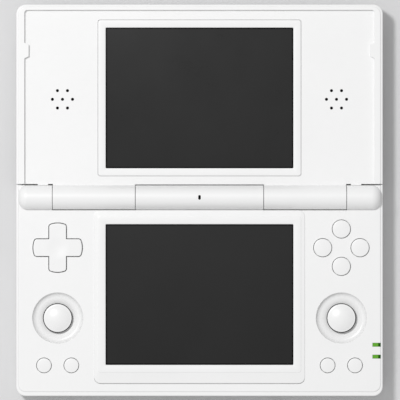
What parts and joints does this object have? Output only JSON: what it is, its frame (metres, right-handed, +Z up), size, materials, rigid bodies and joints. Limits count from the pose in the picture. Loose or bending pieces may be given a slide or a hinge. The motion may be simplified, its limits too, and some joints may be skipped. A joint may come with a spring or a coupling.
{
  "type": "clamshell handheld game console",
  "caption": "Folding handheld game console, opened flat: a control base and a screen lid joined by a barrel hinge.",
  "frame": {"origin": "middle of the opened console's outline, on the surface that its feet stand on", "axes": "+X to the player's right, +Y from the player to the lid's far edge, +Z up out of the control face"},
  "size_m": [0.134, 0.143, 0.0171],
  "materials": {
    "white_shell": "satin white moulded plastic",
    "white_bezel": "satin white moulded plastic",
    "white_control": "satin white moulded plastic",
    "touch_film": "dark film, slightly glossy",
    "clear_lens": "dark tinted window, glossy",
    "display_glass": "unlit display",
    "board": "solder-masked circuit board",
    "chip_black": "matte black",
    "connector_black": "matte black moulded plastic",
    "battery_can": "wrapped cell",
    "steel": "plain steel",
    "green_light": "clear green light guide",
    "silicone": "translucent silicone",
    "foot_rubber": "matte grey rubber",
    "acetal": "natural acetal",
    "speaker_gauze": "fine dark gauze",
    "copper_film": "polyimide film"
  },
  "bodies": {
    "base": {"bottom_shell": "white_shell", "top_shell": "white_shell", "hinge_centre_cover": "white_shell", "lower_screen_frame": "white_bezel", "touch_panel": "touch_film", "lower_display": "display_glass", "main_board": "board", "board_chips": "chip_black", "radio_board": "board", "battery": "battery_can", "battery_cover": "white_shell", "battery_cover_screw": "steel", "card_connector": "connector_black", "charging_port": "steel", "headphone_jack": "connector_black", "microphone": "chip_black", "indicator_lights": "green_light", "button_membranes": "silicone", "rubber_feet": "foot_rubber", "base_screws": "steel", "hinge_bush_left": "acetal", "hinge_spindle_right": "steel", "circle_pad_left_dish": "white_control", "circle_pad_right_dish": "white_control", "circle_pad_left_housing": "connector_black", "circle_pad_right_housing": "connector_black", "shoulder_pivot_pins": "steel", "side_switches": "chip_black"},
    "lid": {"lid_inner_shell": "white_shell", "lid_outer_shell": "white_shell", "upper_lens_frame": "white_bezel", "upper_lens": "clear_lens", "upper_display": "display_glass", "speakers": "chip_black", "speaker_meshes": "speaker_gauze", "hinge_friction_cartridge": "steel", "lid_magnet": "steel", "display_flex": "copper_film"},
    "dpad_pivot": {"dpad_pivot": "acetal"},
    "dpad": {"dpad": "white_control"},
    "button_north": {"button_north": "white_control"},
    "button_east": {"button_east": "white_control"},
    "button_south": {"button_south": "white_control"},
    "button_west": {"button_west": "white_control"},
    "small_button_left_outer": {"small_button_left_outer": "white_control"},
    "small_button_left_inner": {"small_button_left_inner": "white_control"},
    "small_button_right_inner": {"small_button_right_inner": "white_control"},
    "small_button_right_outer": {"small_button_right_outer": "white_control"},
    "circle_pad_left_carriage": {"circle_pad_left_carriage": "steel"},
    "circle_pad_left_cap": {"circle_pad_left_cap": "white_control"},
    "circle_pad_right_carriage": {"circle_pad_right_carriage": "steel"},
    "circle_pad_right_cap": {"circle_pad_right_cap": "white_control"},
    "shoulder_button_left": {"shoulder_button_left": "white_control"},
    "shoulder_button_right": {"shoulder_button_right": "white_control"},
    "power_slider": {"power_slider": "white_control"},
    "volume_slider": {"volume_slider": "white_control"},
    "stylus": {"stylus": "white_control"}
  },
  "joints": [
    {"name": "lid_hinge", "type": "hinge", "parent": "base", "child": "lid", "pos_m": [0, 0.00105, 0.01275], "axis": [1, 0, 0], "range_deg": [0, 180]},
    {"name": "dpad_rock_up_down", "type": "hinge", "parent": "base", "child": "dpad_pivot", "pos_m": [-0.05184, -0.01733, 0.00988], "axis": [1, 0, 0], "range_deg": [-3, 3], "stiffness_Nm_per_rad": 0.1},
    {"name": "dpad_rock_left_right", "type": "hinge", "parent": "dpad_pivot", "child": "dpad", "pos_m": [-0.05184, -0.01733, 0.00988], "axis": [0, 1, 0], "range_deg": [-3, 3], "stiffness_Nm_per_rad": 0.1},
    {"name": "button_north_press", "type": "slide", "parent": "base", "child": "button_north", "axis": [0, 0, -1], "range_m": [0, 0.0008], "stiffness_N_per_m": 1000, "springref_m": -0.0003},
    {"name": "button_east_press", "type": "slide", "parent": "base", "child": "button_east", "axis": [0, 0, -1], "range_m": [0, 0.0008], "stiffness_N_per_m": 1000, "springref_m": -0.0003},
    {"name": "button_south_press", "type": "slide", "parent": "base", "child": "button_south", "axis": [0, 0, -1], "range_m": [0, 0.0008], "stiffness_N_per_m": 1000, "springref_m": -0.0003},
    {"name": "button_west_press", "type": "slide", "parent": "base", "child": "button_west", "axis": [0, 0, -1], "range_m": [0, 0.0008], "stiffness_N_per_m": 1000, "springref_m": -0.0003},
    {"name": "small_button_left_outer_press", "type": "slide", "parent": "base", "child": "small_button_left_outer", "axis": [0, 0, -1], "range_m": [0, 0.0005], "stiffness_N_per_m": 1200, "springref_m": -0.0002},
    {"name": "small_button_left_inner_press", "type": "slide", "parent": "base", "child": "small_button_left_inner", "axis": [0, 0, -1], "range_m": [0, 0.0005], "stiffness_N_per_m": 1200, "springref_m": -0.0002},
    {"name": "small_button_right_inner_press", "type": "slide", "parent": "base", "child": "small_button_right_inner", "axis": [0, 0, -1], "range_m": [0, 0.0005], "stiffness_N_per_m": 1200, "springref_m": -0.0002},
    {"name": "small_button_right_outer_press", "type": "slide", "parent": "base", "child": "small_button_right_outer", "axis": [0, 0, -1], "range_m": [0, 0.0005], "stiffness_N_per_m": 1200, "springref_m": -0.0002},
    {"name": "circle_pad_left_across", "type": "slide", "parent": "base", "child": "circle_pad_left_carriage", "axis": [1, 0, 0], "range_m": [-0.0016, 0.0016], "stiffness_N_per_m": 250},
    {"name": "circle_pad_left_along", "type": "slide", "parent": "circle_pad_left_carriage", "child": "circle_pad_left_cap", "axis": [0, 1, 0], "range_m": [-0.0016, 0.0016], "stiffness_N_per_m": 250},
    {"name": "circle_pad_right_across", "type": "slide", "parent": "base", "child": "circle_pad_right_carriage", "axis": [1, 0, 0], "range_m": [-0.0016, 0.0016], "stiffness_N_per_m": 250},
    {"name": "circle_pad_right_along", "type": "slide", "parent": "circle_pad_right_carriage", "child": "circle_pad_right_cap", "axis": [0, 1, 0], "range_m": [-0.0016, 0.0016], "stiffness_N_per_m": 250},
    {"name": "shoulder_button_left_press", "type": "hinge", "parent": "base", "child": "shoulder_button_left", "pos_m": [-0.056, 0.00205, 0.0057], "axis": [0, 0, 1], "range_deg": [0, 4.5], "stiffness_Nm_per_rad": 0.15, "springref_deg": -1.15},
    {"name": "shoulder_button_right_press", "type": "hinge", "parent": "base", "child": "shoulder_button_right", "pos_m": [0.056, 0.00205, 0.0057], "axis": [0, 0, -1], "range_deg": [0, 4.5], "stiffness_Nm_per_rad": 0.15, "springref_deg": -1.15},
    {"name": "power_slide", "type": "slide", "parent": "base", "child": "power_slider", "axis": [0, -1, 0], "range_m": [0, 0.003], "stiffness_N_per_m": 300, "springref_m": -0.0005},
    {"name": "volume_slide", "type": "slide", "parent": "base", "child": "volume_slider", "axis": [1, 0, 0], "range_m": [-0.0025, 0.0025]},
    {"name": "stylus_draw", "type": "slide", "parent": "base", "child": "stylus", "axis": [0, -1, 0], "range_m": [0, 0.055]}
  ]
}
